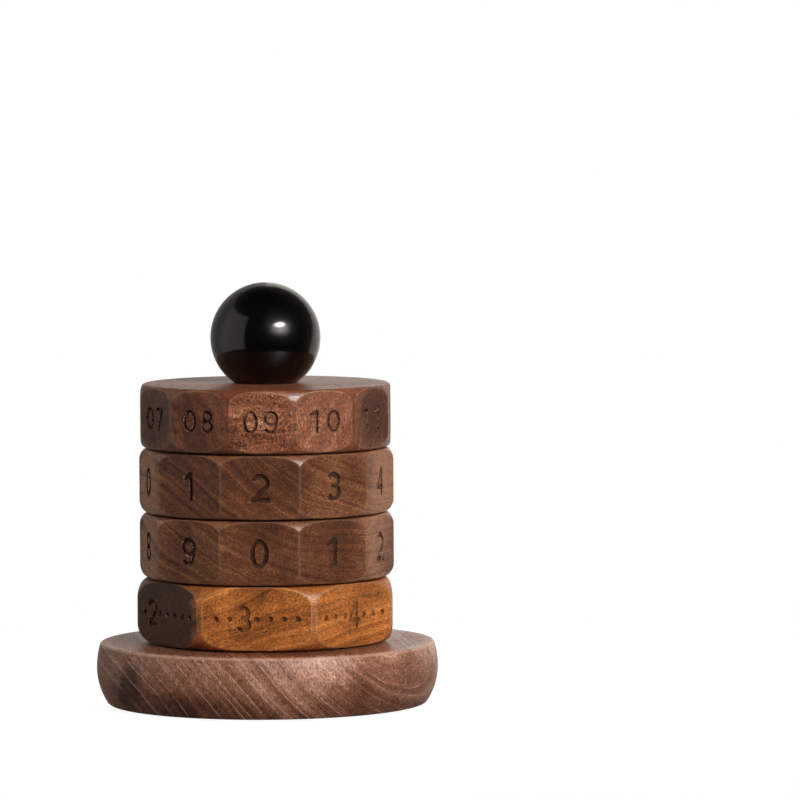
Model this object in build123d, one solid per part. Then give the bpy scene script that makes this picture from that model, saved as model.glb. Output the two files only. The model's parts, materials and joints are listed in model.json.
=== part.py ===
from build123d import *
from math import asin, cos, degrees, pi, radians, sin, sqrt
import os

# Perpetual desk calendar: a turned base carries four faceted wooden rings on one spindle, with a
# ball knob on top. Millimetres, +Z up. The origin is the middle of the face the calendar stands
# on, and the date is read from the front, looking along +Y.

# --- base, turned from one board -------------------------------------------------------------
BASE_DIAMETER = 99.2           # at the belly, its widest point
BASE_THICKNESS = 17.8
BELLY_HEIGHT = 10.6            # from the base's underside up to the belly
BELLY_ARC_ABOVE = 23.8         # section radius from the belly up to the top edge
BELLY_ARC_BELOW = 18.4         # section radius from the belly down to the underside
BASE_TOP_ROUND = 0.8
BASE_BOTTOM_ROUND = 1.0

# --- felt pad, let into the underside --------------------------------------------------------
FELT_DIAMETER = 80.0
FELT_THICKNESS = 1.5
FELT_PROUD = 0.5               # how far the pad stands out of the wood
FELT_CLEARANCE = 0.2           # radial, between the pad and its recess

# --- rings: facets cut on a turned blank -----------------------------------------------------
RING_THICKNESS = 18.3
ARRIS_ROUND = 1.6              # sanding of the upright edges where two facets meet
MONTH_APOTHEM = 36.0           # axis to facet
MONTH_BLANK_RADIUS = 37.1      # the turned surface left standing between facets
MONTH_EDGE_RADIUS = 35.1       # where the shoulder runs out on the ring's flat faces
MONTH_SHOULDER = 4.4           # height of the shoulder
DIGIT_APOTHEM = 35.2           # the tens ring and the units ring
DIGIT_BLANK_RADIUS = 37.1
DIGIT_EDGE_RADIUS = 34.6
DIGIT_SHOULDER = 4.4
WEEKDAY_APOTHEM = 34.5
WEEKDAY_BLANK_RADIUS = 37.9
WEEKDAY_EDGE_RADIUS = 34.0
WEEKDAY_SHOULDER = 5.8

# --- the date that is set, and how far each ring is turned from square, in degrees -----------
MONTH_FRONT, MONTH_TURN = 9, -2.5
TENS_FRONT, TENS_TURN = 2, -3.0
UNITS_FRONT, UNITS_TURN = 0, -3.6
WEEKDAY_FRONT, WEEKDAY_TURN = 3, -5.0

# --- engraving -------------------------------------------------------------------------------
ENGRAVING_DEPTH = 0.7
NUMERAL_ASPECT = 0.655         # width over height
DIGIT_HEIGHT, DIGIT_STROKE = 8.4, 1.45
MONTH_HEIGHT, MONTH_STROKE = 6.6, 0.95
MONTH_GAP = 1.5                # between the two numerals of a month
WEEKDAY_HEIGHT, WEEKDAY_STROKE = 7.8, 1.3
WEEKDAY_PITCH = 3.95           # between the seven places on a weekday facet
WEEKDAY_DOT = 1.7              # diameter of the dot in each place but the day's own

# --- spindle: a threaded rod inside a distance sleeve ----------------------------------------
ROD_DIAMETER = 8.0             # M8
ROD_BELOW_NUT = 1.2
ROD_IN_KNOB = 12.0             # thread engagement
ROD_CHAMFER = 1.0
THREAD_CLEARANCE = 0.05        # radial, between the rod and the threads it turns in
ROD_CLEARANCE = 0.2            # radial, in the base, the washer and the sleeve
SLEEVE_DIAMETER = 12.0
SLEEVE_SOCKET_DEPTH = 2.5      # let into the top of the base
SLEEVE_SOCKET_CLEARANCE = 0.05
NUT_ACROSS_FLATS = 13.0        # M8 hexagon nut
NUT_HEIGHT = 6.5
NUT_CORNER_BEVEL = 1.0         # how far the turned bevel reaches down the nut's corners
ROD_WASHER_DIAMETER = 16.0     # M8 plain washer
ROD_WASHER_THICKNESS = 1.6
SPANNER_CLEARANCE = 1.0        # radial, round the washer
ROD_TO_FELT = 0.8

# --- bushes and thrust washers ---------------------------------------------------------------
BUSH_WALL = 2.0
BUSH_RUNNING_CLEARANCE = 0.05  # radial, bush on sleeve
BUSH_SEAT_CLEARANCE = 0.02     # radial, bush in ring
BUSH_CHAMFER = 0.4
THRUST_WASHER_DIAMETER = 28.0
THRUST_WASHER_THICKNESS = 0.5
THRUST_WASHER_CLEARANCE = 0.2  # radial, on the sleeve
KNOB_WASHER_DIAMETER = 17.0
KNOB_WASHER_RECESS = 0.4       # let into the top of the month ring
KNOB_WASHER_MARGIN = 0.4       # radial, round the washer in its recess
AXIAL_PLAY = 0.1               # between the stack and the knob, so that the rings turn

# --- ball knob with a brass insert -----------------------------------------------------------
KNOB_DIAMETER = 32.0
KNOB_FLAT_DIAMETER = 18.65     # the flat it is screwed down on
INSERT_DIAMETER = 12.0
INSERT_LENGTH = 15.0
INSERT_CLEARANCE = 0.02        # radial
INSERT_GROOVES = 3             # turned grooves that key the insert in the ball
INSERT_GROOVE_DEPTH = 0.6
INSERT_GROOVE_WIDTH = 1.5
KNOB_BORE_EXTRA = 2.0          # blind depth past the insert

# --- heights and radii worked out from the sizes above ---------------------------------------
base_bottom = FELT_PROUD
base_top = base_bottom + BASE_THICKNESS
felt_top = FELT_THICKNESS
rod_bottom = felt_top + ROD_TO_FELT
nut_bottom = rod_bottom + ROD_BELOW_NUT
nut_top = nut_bottom + NUT_HEIGHT
counterbore_top = nut_top + ROD_WASHER_THICKNESS
sleeve_bottom = base_top - SLEEVE_SOCKET_DEPTH
ring_pitch = RING_THICKNESS + THRUST_WASHER_THICKNESS
weekday_bottom = base_top + THRUST_WASHER_THICKNESS
units_bottom = weekday_bottom + ring_pitch
tens_bottom = units_bottom + ring_pitch
month_bottom = tens_bottom + ring_pitch
stack_top = month_bottom + RING_THICKNESS
knob_washer_bottom = stack_top - KNOB_WASHER_RECESS
knob_bottom = knob_washer_bottom + THRUST_WASHER_THICKNESS + AXIAL_PLAY
rod_top = knob_bottom + ROD_IN_KNOB

rod_radius = ROD_DIAMETER / 2
rod_hole = rod_radius + ROD_CLEARANCE
threaded_hole = rod_radius + THREAD_CLEARANCE
sleeve_radius = SLEEVE_DIAMETER / 2
bush_radius = sleeve_radius + BUSH_RUNNING_CLEARANCE + BUSH_WALL
washer_hole = sleeve_radius + THRUST_WASHER_CLEARANCE
counterbore_radius = ROD_WASHER_DIAMETER / 2 + SPANNER_CLEARANCE


def disc(radius, bottom, top):
    """A cylinder on the Z axis between two heights."""
    return Pos(0, 0, bottom) * extrude(Circle(radius), top - bottom)


def tube(outer, bore, bottom, top):
    """A plain tube on the Z axis between two heights."""
    return disc(outer, bottom, top) - disc(bore, bottom, top)


def turned(*edges):
    """The solid turned about Z from a closed section, drawn as radius across and height up."""
    section = make_face([edge for part in edges for edge in part.edges()])
    return revolve(Plane.XZ * section, Axis.Z)


# ---------------------------------------------------------------------------------------------
# Base and what is under it
# ---------------------------------------------------------------------------------------------
def make_base():
    """A disc that swells to a belly, bored for the spindle, its nut and the felt pad."""
    radius = BASE_DIAMETER / 2
    belly = base_bottom + BELLY_HEIGHT
    angle_above = degrees(asin((base_top - belly) / BELLY_ARC_ABOVE))
    angle_below = degrees(asin(BELLY_HEIGHT / BELLY_ARC_BELOW))
    above = CenterArc((radius - BELLY_ARC_ABOVE, belly), BELLY_ARC_ABOVE, 0, angle_above)
    below = CenterArc((radius - BELLY_ARC_BELOW, belly), BELLY_ARC_BELOW, 0, -angle_below)
    core = Polyline(above @ 1, (0, base_top), (0, base_bottom), below @ 1)
    base = turned(above, core, below)
    rims = base.edges().filter_by(GeomType.CIRCLE).sort_by(Axis.Z)
    base = fillet(rims[-1], BASE_TOP_ROUND)
    rims = base.edges().filter_by(GeomType.CIRCLE).sort_by(Axis.Z)
    base = fillet(rims[0], BASE_BOTTOM_ROUND)
    base -= disc(FELT_DIAMETER / 2 + FELT_CLEARANCE, base_bottom, felt_top)
    base -= disc(counterbore_radius, base_bottom, counterbore_top)
    base -= disc(rod_hole, base_bottom, base_top)
    base -= disc(sleeve_radius + SLEEVE_SOCKET_CLEARANCE, sleeve_bottom, base_top)
    return base


def make_rod_nut():
    """A hexagon nut whose corners are bevelled on the side away from the washer."""
    flat = NUT_ACROSS_FLATS / 2
    corner = flat / cos(pi / 6)
    nut = Pos(0, 0, nut_bottom) * extrude(RegularPolygon(flat, 6, major_radius=False), NUT_HEIGHT)
    bevel = Polyline(
        (0, nut_bottom), (flat, nut_bottom), (corner, nut_bottom + NUT_CORNER_BEVEL),
        (corner, nut_top), (0, nut_top), (0, nut_bottom),
    )
    return (nut & turned(bevel)) - disc(threaded_hole, nut_bottom, nut_top)


# ---------------------------------------------------------------------------------------------
# Numerals
# ---------------------------------------------------------------------------------------------
def pen(stroke, *edges):
    """The band that a pen as wide as the stroke leaves along a run of edges."""
    return trace([edge for part in edges for edge in part.edges()], stroke)


def bar(left, bottom, right, top):
    """An upright rectangle given by its sides."""
    return Pos((left + right) / 2, (bottom + top) / 2) * Rectangle(right - left, top - bottom)


def loop(x_radius, y_radius, stroke, y=0):
    """A closed oval band whose centre line has the given radii."""
    half = stroke / 2
    return Pos(0, y) * (Ellipse(x_radius + half, y_radius + half)
                        - Ellipse(x_radius - half, y_radius - half))


def numeral(digit, height, stroke):
    """One sans numeral, centred on the origin."""
    width = NUMERAL_ASPECT * height
    left, right = -width / 2, width / 2
    bottom, top = -height / 2, height / 2
    a, b = (width - stroke) / 2, (height - stroke) / 2    # centre line of the outermost strokes
    small, large = 0.48 * b, 0.52 * b                     # upper and lower bowls
    if digit == 0:
        return loop(a, b, stroke)
    if digit == 1:
        stem = 0.35 * a
        flag = Polygon((stem, top), (stem - 0.4 * stroke, top), (left + 0.5 * stroke, top - 0.9 * stroke),
                       (left + 0.5 * stroke, top - 2 * stroke), (stem, top - 1.1 * stroke))
        return bar(stem - stroke / 2, bottom, stem + stroke / 2, top) + flag
    if digit == 2:
        bowl = CenterArc((0, b - a), a, 165, -205)
        return pen(stroke, bowl, Line(bowl @ 1, (-a, -b))) + bar(left, bottom, right, bottom + stroke)
    if digit == 3:
        upper = CenterArc((0, b - small), small, 155, -245)
        lower = CenterArc((0, large - b), large, 90, -245)
        waist = b - 2 * small
        return pen(stroke, upper) + pen(stroke, lower) + bar(-0.3 * a, waist - stroke / 2, 0, waist + stroke / 2)
    if digit == 4:
        stem, shelf = 0.5 * a, -0.42 * b
        brace = Polygon((stem + stroke / 2, top), (stem - stroke / 2, top), (left, shelf + 0.4 * stroke),
                        (left + stroke, shelf + 0.4 * stroke))
        return (bar(stem - stroke / 2, bottom, stem + stroke / 2, top)
                + bar(left, shelf - stroke / 2, right, shelf + stroke / 2) + brace)
    if digit == 5:
        bowl, back = CenterArc((0, 1.15 * large - b), 1.15 * large, 128, -278), -0.62 * a - stroke / 2
        return (pen(stroke, bowl) + bar(back, -0.1 * b, back + stroke, top)
                + bar(back, top - stroke, right, top))
    if digit in (6, 9):
        side = EllipticalCenterArc((0, a - b), a, 2 * b - a, 180, arc_size=-90)
        hook = CenterArc((0, b - a), a, 90, -65)
        six = loop(a, a, stroke, a - b) + pen(stroke, side) + pen(stroke, hook)
        return six if digit == 6 else Rot(0, 0, 180) * six
    if digit == 7:
        return Polygon((left, top), (left, top - stroke), (right - 1.2 * stroke, top - stroke),
                       (-0.35 * a - 0.55 * stroke, bottom), (-0.35 * a + 0.55 * stroke, bottom),
                       (right, top - 0.9 * stroke), (right, top))
    return loop(small * 1.03, small, stroke, b - small) + loop(large * 1.05, large, stroke, large - b)


def digit_marks(value):
    """What a tens or units facet shows: one numeral."""
    return numeral(value, DIGIT_HEIGHT, DIGIT_STROKE)


def month_marks(value):
    """What a month facet shows: the month as two numerals."""
    offset = (NUMERAL_ASPECT * MONTH_HEIGHT + MONTH_GAP) / 2
    return (Pos(-offset, 0) * numeral(value // 10, MONTH_HEIGHT, MONTH_STROKE)
            + Pos(offset, 0) * numeral(value % 10, MONTH_HEIGHT, MONTH_STROKE))


def weekday_marks(value):
    """What a weekday facet shows: seven places, with the day's numeral in its own."""
    marks = Sketch()
    for place in range(1, 8):
        at = Pos((place - 4) * WEEKDAY_PITCH, 0)
        marks += at * (numeral(value, WEEKDAY_HEIGHT, WEEKDAY_STROKE) if place == value
                       else Circle(WEEKDAY_DOT / 2))
    return marks


# ---------------------------------------------------------------------------------------------
# Rings
# ---------------------------------------------------------------------------------------------
def turned_blank(bottom, blank_radius, edge_radius, shoulder):
    """The ring before its facets are cut: a drum whose shoulders are quarter ellipses."""
    top = bottom + RING_THICKNESS
    reach = blank_radius - edge_radius
    upper = EllipticalCenterArc((edge_radius, top - shoulder), reach, shoulder, 0, arc_size=90)
    lower = EllipticalCenterArc((edge_radius, bottom + shoulder), reach, shoulder, -90, arc_size=90)
    side = Line(lower @ 1, upper @ 0)
    core = Polyline(upper @ 1, (0, top), (0, bottom), lower @ 0)
    return turned(upper, core, lower, side)


def make_ring(bottom, facets, apothem, blank_radius, edge_radius, shoulder, turn, front, first, marks):
    """A wooden ring with one engraved facet for each value, in order to the right."""
    step = 360 / facets
    corner_radius = apothem / cos(radians(step / 2))
    corners = [Vector(corner_radius, 0).rotate(Axis.Z, -90 + turn + (k + 0.5) * step)
               for k in range(facets)]
    outline = Polygon(*corners)
    outline = fillet(outline.vertices(), ARRIS_ROUND)
    prism = Pos(0, 0, bottom) * extrude(outline, RING_THICKNESS)
    ring = prism & turned_blank(bottom, blank_radius, edge_radius, shoulder)
    ring -= disc(bush_radius + BUSH_SEAT_CLEARANCE, bottom, bottom + RING_THICKNESS)
    cuts = []
    for value in range(first, first + facets):
        angle = radians(-90 + turn + (value - front) * step)
        outward = Vector(cos(angle), sin(angle), 0)
        middle = outward * (apothem - ENGRAVING_DEPTH) + Vector(0, 0, bottom + RING_THICKNESS / 2)
        facet = Plane(origin=middle, x_dir=Vector(-sin(angle), cos(angle), 0), z_dir=outward)
        cuts += extrude(facet * marks(value), 2 * ENGRAVING_DEPTH).solids()
    return ring - cuts


def make_bush(bottom, top):
    """A plain bush, flush with both faces of its ring, with its ends bevelled outside."""
    bush = tube(bush_radius, sleeve_radius + BUSH_RUNNING_CLEARANCE, bottom, top)
    ends = bush.edges().filter_by(GeomType.CIRCLE).group_by(SortBy.RADIUS)[-1]
    return chamfer(ends, BUSH_CHAMFER)


def make_thrust_washer(bottom):
    return tube(THRUST_WASHER_DIAMETER / 2, washer_hole, bottom, bottom + THRUST_WASHER_THICKNESS)


# ---------------------------------------------------------------------------------------------
# Knob
# ---------------------------------------------------------------------------------------------
def make_ball_knob():
    """A ball with a flat, bored for its insert and for the end of the rod."""
    radius = KNOB_DIAMETER / 2
    centre = knob_bottom + sqrt(radius**2 - (KNOB_FLAT_DIAMETER / 2)**2)
    ball = Pos(0, 0, centre) * Sphere(radius)
    ball -= disc(radius, centre - radius, knob_bottom)
    bore_top = knob_bottom + INSERT_LENGTH
    ball -= disc(INSERT_DIAMETER / 2 + INSERT_CLEARANCE, knob_bottom, bore_top)
    return ball - disc(threaded_hole, bore_top, bore_top + KNOB_BORE_EXTRA)


def make_knob_insert():
    """A threaded brass bush, grooved outside so that it keys into the ball."""
    radius = INSERT_DIAMETER / 2
    insert = tube(radius, threaded_hole, knob_bottom, knob_bottom + INSERT_LENGTH)
    spacing = INSERT_LENGTH / (INSERT_GROOVES + 1)
    for k in range(1, INSERT_GROOVES + 1):
        low = knob_bottom + k * spacing - INSERT_GROOVE_WIDTH / 2
        insert -= tube(radius + 1, radius - INSERT_GROOVE_DEPTH, low, low + INSERT_GROOVE_WIDTH)
    return insert


def make_tie_rod():
    rod = disc(rod_radius, rod_bottom, rod_top)
    return chamfer(rod.edges().filter_by(GeomType.CIRCLE), ROD_CHAMFER)


parts = {
    "base": make_base(),
    "base_felt": disc(FELT_DIAMETER / 2, 0, felt_top),
    "tie_rod": make_tie_rod(),
    "rod_nut": make_rod_nut(),
    "rod_washer": tube(ROD_WASHER_DIAMETER / 2, rod_hole, nut_top, counterbore_top),
    "spindle_sleeve": tube(sleeve_radius, rod_hole, sleeve_bottom, knob_bottom),
    "ball_knob": make_ball_knob(),
    "knob_insert": make_knob_insert(),
    "weekday_ring": make_ring(
        weekday_bottom, 7, WEEKDAY_APOTHEM, WEEKDAY_BLANK_RADIUS, WEEKDAY_EDGE_RADIUS,
        WEEKDAY_SHOULDER, WEEKDAY_TURN, WEEKDAY_FRONT, 1, weekday_marks),
    "units_ring": make_ring(
        units_bottom, 10, DIGIT_APOTHEM, DIGIT_BLANK_RADIUS, DIGIT_EDGE_RADIUS,
        DIGIT_SHOULDER, UNITS_TURN, UNITS_FRONT, 0, digit_marks),
    "tens_ring": make_ring(
        tens_bottom, 10, DIGIT_APOTHEM, DIGIT_BLANK_RADIUS, DIGIT_EDGE_RADIUS,
        DIGIT_SHOULDER, TENS_TURN, TENS_FRONT, 0, digit_marks),
    "month_ring": make_ring(
        month_bottom, 12, MONTH_APOTHEM, MONTH_BLANK_RADIUS, MONTH_EDGE_RADIUS,
        MONTH_SHOULDER, MONTH_TURN, MONTH_FRONT, 1, month_marks)
    - disc(KNOB_WASHER_DIAMETER / 2 + KNOB_WASHER_MARGIN, knob_washer_bottom, stack_top),
    "knob_thrust_washer": tube(KNOB_WASHER_DIAMETER / 2, washer_hole, knob_washer_bottom,
                               knob_washer_bottom + THRUST_WASHER_THICKNESS),
}
for ring_name, low, high in (
    ("weekday", weekday_bottom, weekday_bottom + RING_THICKNESS),
    ("units", units_bottom, units_bottom + RING_THICKNESS),
    ("tens", tens_bottom, tens_bottom + RING_THICKNESS),
    ("month", month_bottom, knob_washer_bottom),
):
    parts[ring_name + "_bush"] = make_bush(low, high)
    parts[ring_name + "_thrust_washer"] = make_thrust_washer(low - THRUST_WASHER_THICKNESS)

os.makedirs("parts", exist_ok=True)
for node, shape in parts.items():
    export_step(shape, f"parts/{node}.step")
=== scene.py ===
import json
import math
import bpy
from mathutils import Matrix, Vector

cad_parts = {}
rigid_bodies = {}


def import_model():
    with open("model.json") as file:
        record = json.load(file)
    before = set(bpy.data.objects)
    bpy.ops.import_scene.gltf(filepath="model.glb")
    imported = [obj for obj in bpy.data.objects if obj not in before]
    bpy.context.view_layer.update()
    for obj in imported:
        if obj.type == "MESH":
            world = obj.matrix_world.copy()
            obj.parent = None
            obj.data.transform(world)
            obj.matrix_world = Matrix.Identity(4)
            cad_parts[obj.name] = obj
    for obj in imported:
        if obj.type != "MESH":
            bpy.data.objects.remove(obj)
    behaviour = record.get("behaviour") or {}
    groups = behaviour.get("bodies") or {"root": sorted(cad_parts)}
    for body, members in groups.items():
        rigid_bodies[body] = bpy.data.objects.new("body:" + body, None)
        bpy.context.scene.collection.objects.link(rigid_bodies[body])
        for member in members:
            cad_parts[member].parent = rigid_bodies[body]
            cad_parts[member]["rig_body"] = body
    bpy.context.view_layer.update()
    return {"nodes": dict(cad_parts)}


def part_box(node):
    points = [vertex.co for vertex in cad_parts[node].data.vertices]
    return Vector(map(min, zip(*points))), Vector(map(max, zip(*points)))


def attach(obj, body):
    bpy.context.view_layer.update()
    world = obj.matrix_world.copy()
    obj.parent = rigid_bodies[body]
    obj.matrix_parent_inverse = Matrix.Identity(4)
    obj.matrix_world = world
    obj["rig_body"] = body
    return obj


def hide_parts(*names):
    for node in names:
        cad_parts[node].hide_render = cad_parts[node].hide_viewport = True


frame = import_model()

from types import SimpleNamespace

import bmesh
import bpy
import numpy as np
from mathutils import Matrix, Vector
from mathutils.geometry import delaunay_2d_cdt

# Perpetual desk calendar: the wooden rings and base, the ball and the felt pad are modelled here in
# full detail in place of their CAD nodes; the metal and plastic parts of the spindle keep the CAD
# shapes and get procedural materials. Lengths are millimetres up to the point where a mesh is made.
MM = 0.001

# --- base ---
BASE_DIAMETER = 99.2
BELLY_HEIGHT = 10.6            # from the base's underside up to its widest point
BELLY_ARC_ABOVE = 23.8
BELLY_ARC_BELOW = 18.4
BASE_TOP_ROUND = 0.8
BASE_BOTTOM_ROUND = 1.0
RIM_CUT = 3                    # points of the belly's arcs that each of these takes the place of
BASE_POLISH_RADIUS = 35.0      # outside it, the top face is polished
BASE_SEGMENTS, BASE_SPACING = 320, 3.0
FELT_RECESS_RADIUS = 40.2
FELT_RECESS_TOP = 1.5
COUNTERBORE_RADIUS = 9.0
COUNTERBORE_TOP = 11.6
ROD_HOLE_RADIUS = 4.2
SLEEVE_SOCKET_RADIUS = 6.05
SLEEVE_SOCKET_DEPTH = 2.5

# --- rings ---
RING_THICKNESS = 18.3
ARRIS_ROUND = 0.9              # sanding of the upright edges between facets
ARRIS_WEAR = 0.55              # how far from them the wood is paler
ARRIS_PALENESS = 0.5           # and how pale, as a share of the rims of the facets
ARRIS_STEPS = 6
RING_BORE_RADIUS = 8.07
KNOB_RECESS_RADIUS = 8.9       # for the washer under the ball, in the month ring only
KNOB_RECESS_DEPTH = 0.4
TURNED_FADE = 0.10             # depth below the facets over which wood counts as turned
FACED = 0.8                    # how far a ring's flat ends count as turned
GRID = 0.25                    # size of a ring's faces where the shape curves
GRID_FLAT = 0.9                # and where it is flat
GRID_COARSE = 2.5              # and on its ends
SHOULDER_ROWS = 1.25           # on a shoulder, for each GRID of its height

# --- engraving ---
ENGRAVING_DEPTH = 0.7
ENGRAVING_DRAFT = 0.10         # how far a wall leans in on its way down
ENGRAVING_MARGIN = 0.3         # flat wood left round the marks in the finely meshed window
NUMERAL_ASPECT = 0.655
DIGIT_HEIGHT, DIGIT_STROKE = 8.4, 1.45
MONTH_HEIGHT, MONTH_STROKE, MONTH_GAP = 6.6, 0.95, 1.5
WEEKDAY_HEIGHT, WEEKDAY_STROKE = 7.8, 1.3
WEEKDAY_PITCH, WEEKDAY_DOT = 3.95, 1.7

# --- ball ---
KNOB_DIAMETER = 32.0
KNOB_FLAT_DIAMETER = 18.65
KNOB_FLAT_ROUND = 0.3
INSERT_SEAT_RADIUS = 6.02
INSERT_LENGTH = 15.0
BALL_SEGMENTS = 256

# --- felt ---
FELT_RADIUS = 40.0
FELT_FUZZ = 0.12               # how far the cut edge of the pad wanders
FELT_SEGMENTS, FELT_SPACING = 480, 4.0


# === Numerals, as closed outlines that may overlap ===============
def arc(centre, x_radius, y_radius, start, sweep, steps=20):
    """Points along an elliptical arc; the angles are in degrees."""
    turn = np.radians(start + sweep * np.linspace(0, 1, steps + 1))
    return np.column_stack([centre[0] + x_radius * np.cos(turn), centre[1] + y_radius * np.sin(turn)])


def strip(right, left):
    """The four-sided cells between two rows of points, the second on the left of the first."""
    return [np.array([right[k], right[k + 1], left[k + 1], left[k]]) for k in range(len(right) - 1)]


def pen(stroke, *runs):
    """What a pen as wide as the stroke leaves along a run of points."""
    line = np.vstack(runs)
    tangent = np.gradient(line, axis=0)
    tangent /= np.linalg.norm(tangent, axis=1)[:, None]
    side = stroke / 2 * np.column_stack([-tangent[:, 1], tangent[:, 0]])
    return strip(line - side, line + side)


def bar(left, bottom, right, top):
    """An upright rectangle given by its sides."""
    return [np.array([(left, bottom), (right, bottom), (right, top), (left, top)])]


def loop(x_radius, y_radius, stroke, y=0.0):
    """A closed oval band whose centre line has the given radii."""
    half = stroke / 2
    inner = arc((0, y), x_radius - half, y_radius - half, 0, 360, 44)
    outer = arc((0, y), x_radius + half, y_radius + half, 0, 360, 44)
    return strip(outer, inner)


def moved(outlines, x):
    return [outline + (x, 0) for outline in outlines]


def numeral(digit, height, stroke):
    """One sans numeral, centred on the origin."""
    width = NUMERAL_ASPECT * height
    left, right = -width / 2, width / 2
    bottom, top = -height / 2, height / 2
    a, b = (width - stroke) / 2, (height - stroke) / 2    # centre line of the outermost strokes
    small, large = 0.48 * b, 0.52 * b                     # upper and lower bowls
    if digit == 0:
        return loop(a, b, stroke)
    if digit == 1:
        stem = 0.35 * a
        flag = np.array([(stem, top), (stem - 0.4 * stroke, top), (left + 0.5 * stroke, top - 0.9 * stroke),
                         (left + 0.5 * stroke, top - 2 * stroke), (stem, top - 1.1 * stroke)])
        return bar(stem - stroke / 2, bottom, stem + stroke / 2, top) + [flag]
    if digit == 2:
        bowl = arc((0, b - a), a, a, 165, -205)
        return pen(stroke, bowl, [(-a, -b)]) + bar(left, bottom, right, bottom + stroke)
    if digit == 3:
        waist = b - 2 * small
        return (pen(stroke, arc((0, b - small), small, small, 155, -245))
                + pen(stroke, arc((0, large - b), large, large, 90, -245))
                + bar(-0.3 * a, waist - stroke / 2, 0, waist + stroke / 2))
    if digit == 4:
        stem, shelf = 0.5 * a, -0.42 * b
        brace = np.array([(stem + stroke / 2, top), (stem - stroke / 2, top), (left, shelf + 0.4 * stroke),
                          (left + stroke, shelf + 0.4 * stroke)])
        return (bar(stem - stroke / 2, bottom, stem + stroke / 2, top)
                + bar(left, shelf - stroke / 2, right, shelf + stroke / 2) + [brace])
    if digit == 5:
        back = -0.62 * a - stroke / 2
        return (pen(stroke, arc((0, 1.15 * large - b), 1.15 * large, 1.15 * large, 128, -278))
                + bar(back, -0.1 * b, back + stroke, top) + bar(back, top - stroke, right, top))
    if digit in (6, 9):
        six = (loop(a, a, stroke, a - b) + pen(stroke, arc((0, a - b), a, 2 * b - a, 180, -90))
               + pen(stroke, arc((0, b - a), a, a, 90, -65)))
        return six if digit == 6 else [-outline for outline in six]
    if digit == 7:
        return [np.array([(left, top), (left, top - stroke), (right - 1.2 * stroke, top - stroke),
                          (-0.35 * a - 0.55 * stroke, bottom), (-0.35 * a + 0.55 * stroke, bottom),
                          (right, top - 0.9 * stroke), (right, top)])]
    return loop(small * 1.03, small, stroke, b - small) + loop(large * 1.05, large, stroke, large - b)


def digit_marks(value):
    """What a tens or units facet shows: one numeral."""
    return numeral(value, DIGIT_HEIGHT, DIGIT_STROKE)


def month_marks(value):
    """What a month facet shows: the month as two numerals."""
    offset = (NUMERAL_ASPECT * MONTH_HEIGHT + MONTH_GAP) / 2
    return (moved(numeral(value // 10, MONTH_HEIGHT, MONTH_STROKE), -offset)
            + moved(numeral(value % 10, MONTH_HEIGHT, MONTH_STROKE), offset))


def weekday_marks(value):
    """What a weekday facet shows: seven places, with the day's numeral in its own."""
    marks = []
    for place in range(1, 8):
        mark = (numeral(value, WEEKDAY_HEIGHT, WEEKDAY_STROKE) if place == value
                else [arc((0, 0), WEEKDAY_DOT / 2, WEEKDAY_DOT / 2, 0, 360, 24)[:-1]])
        marks += moved(mark, (place - 4) * WEEKDAY_PITCH)
    return marks


# === Rings =======================================================
def spaced(start, end, spacing):
    """Evenly spaced values from start to end, both included."""
    return np.linspace(start, end, max(2, round(abs(end - start) / spacing) + 1))


def blank_radius(ring, height):
    """Radius and slope, as the elevation of the normal, of the turned blank at heights from its middle."""
    straight = RING_THICKNESS / 2 - ring.shoulder
    reach = ring.blank - ring.edge
    sine = np.clip((np.abs(height) - straight) / ring.shoulder, 0, 1)
    cosine = np.sqrt(1 - sine**2)
    radius = ring.edge + reach * cosine
    return radius, np.arctan2(reach * sine, ring.shoulder * cosine)


def prism_radius(ring, angle):
    """Radius of the faceted outline at angles from a facet's middle, with its corners rounded."""
    half = math.pi / ring.facets
    flat = ring.apothem / np.cos(angle)
    centre = (ring.apothem - ARRIS_ROUND) / math.cos(half)
    off_corner = half - np.abs(angle)
    round_part = centre * np.cos(off_corner) + np.sqrt(
        np.maximum(ARRIS_ROUND**2 - (centre * np.sin(off_corner))**2, 0))
    tangent = math.atan((ring.apothem - ARRIS_ROUND) * math.tan(half) / ring.apothem)
    return np.where(np.abs(angle) < tangent, flat, round_part), tangent


def outer_heights(ring, window):
    """Heights of the rows of the outer surface, close together on the shoulders."""
    straight = RING_THICKNESS / 2 - ring.shoulder
    steps = round(SHOULDER_ROWS * ring.shoulder / GRID)
    upper = straight + ring.shoulder * np.sin(np.linspace(0, math.pi / 2, steps))
    upper = np.concatenate([spaced(0, straight, 2 * GRID)[:-1], upper, [window]])
    upper = np.unique(np.round(upper, 5))
    return np.concatenate([-upper[:0:-1], upper])


def facet_angles(ring, window):
    """Angles of the columns of one facet, from its left corner up to but not including the right one."""
    apothem = ring.apothem
    corner = math.pi / ring.facets
    tangent = prism_radius(ring, 0.0)[1]
    inside = spaced(0, window, GRID_FLAT)
    outside = spaced(window, apothem * math.tan(tangent), GRID)
    half = np.concatenate([np.arctan(inside / apothem), np.arctan(outside / apothem)[1:],
                           np.linspace(tangent, corner, ARRIS_STEPS)[1:]])
    return np.concatenate([-half[::-1], half[1:-1]])


def window_fill(border, outlines):
    """Triangles of a facet's window: a list of points, and the triangles on the facet and in the marks."""
    points, faces = [Vector(p) for p in border], [list(range(len(border)))]
    for outline in outlines:
        x, y = outline[:, 0], outline[:, 1]
        if np.dot(x, np.roll(y, -1)) < np.dot(y, np.roll(x, -1)):
            outline = outline[::-1]
        faces.append(list(range(len(points), len(points) + len(outline))))
        points += [Vector(p) for p in outline]
    found = delaunay_2d_cdt(points, [], faces, 1, 1e-5)
    flat = [f for f, source in zip(found[2], found[5]) if max(source) == 0]
    marked = [f for f, source in zip(found[2], found[5]) if max(source) > 0]
    return np.array([tuple(p) for p in found[0]]), flat, marked, found[3]


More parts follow.
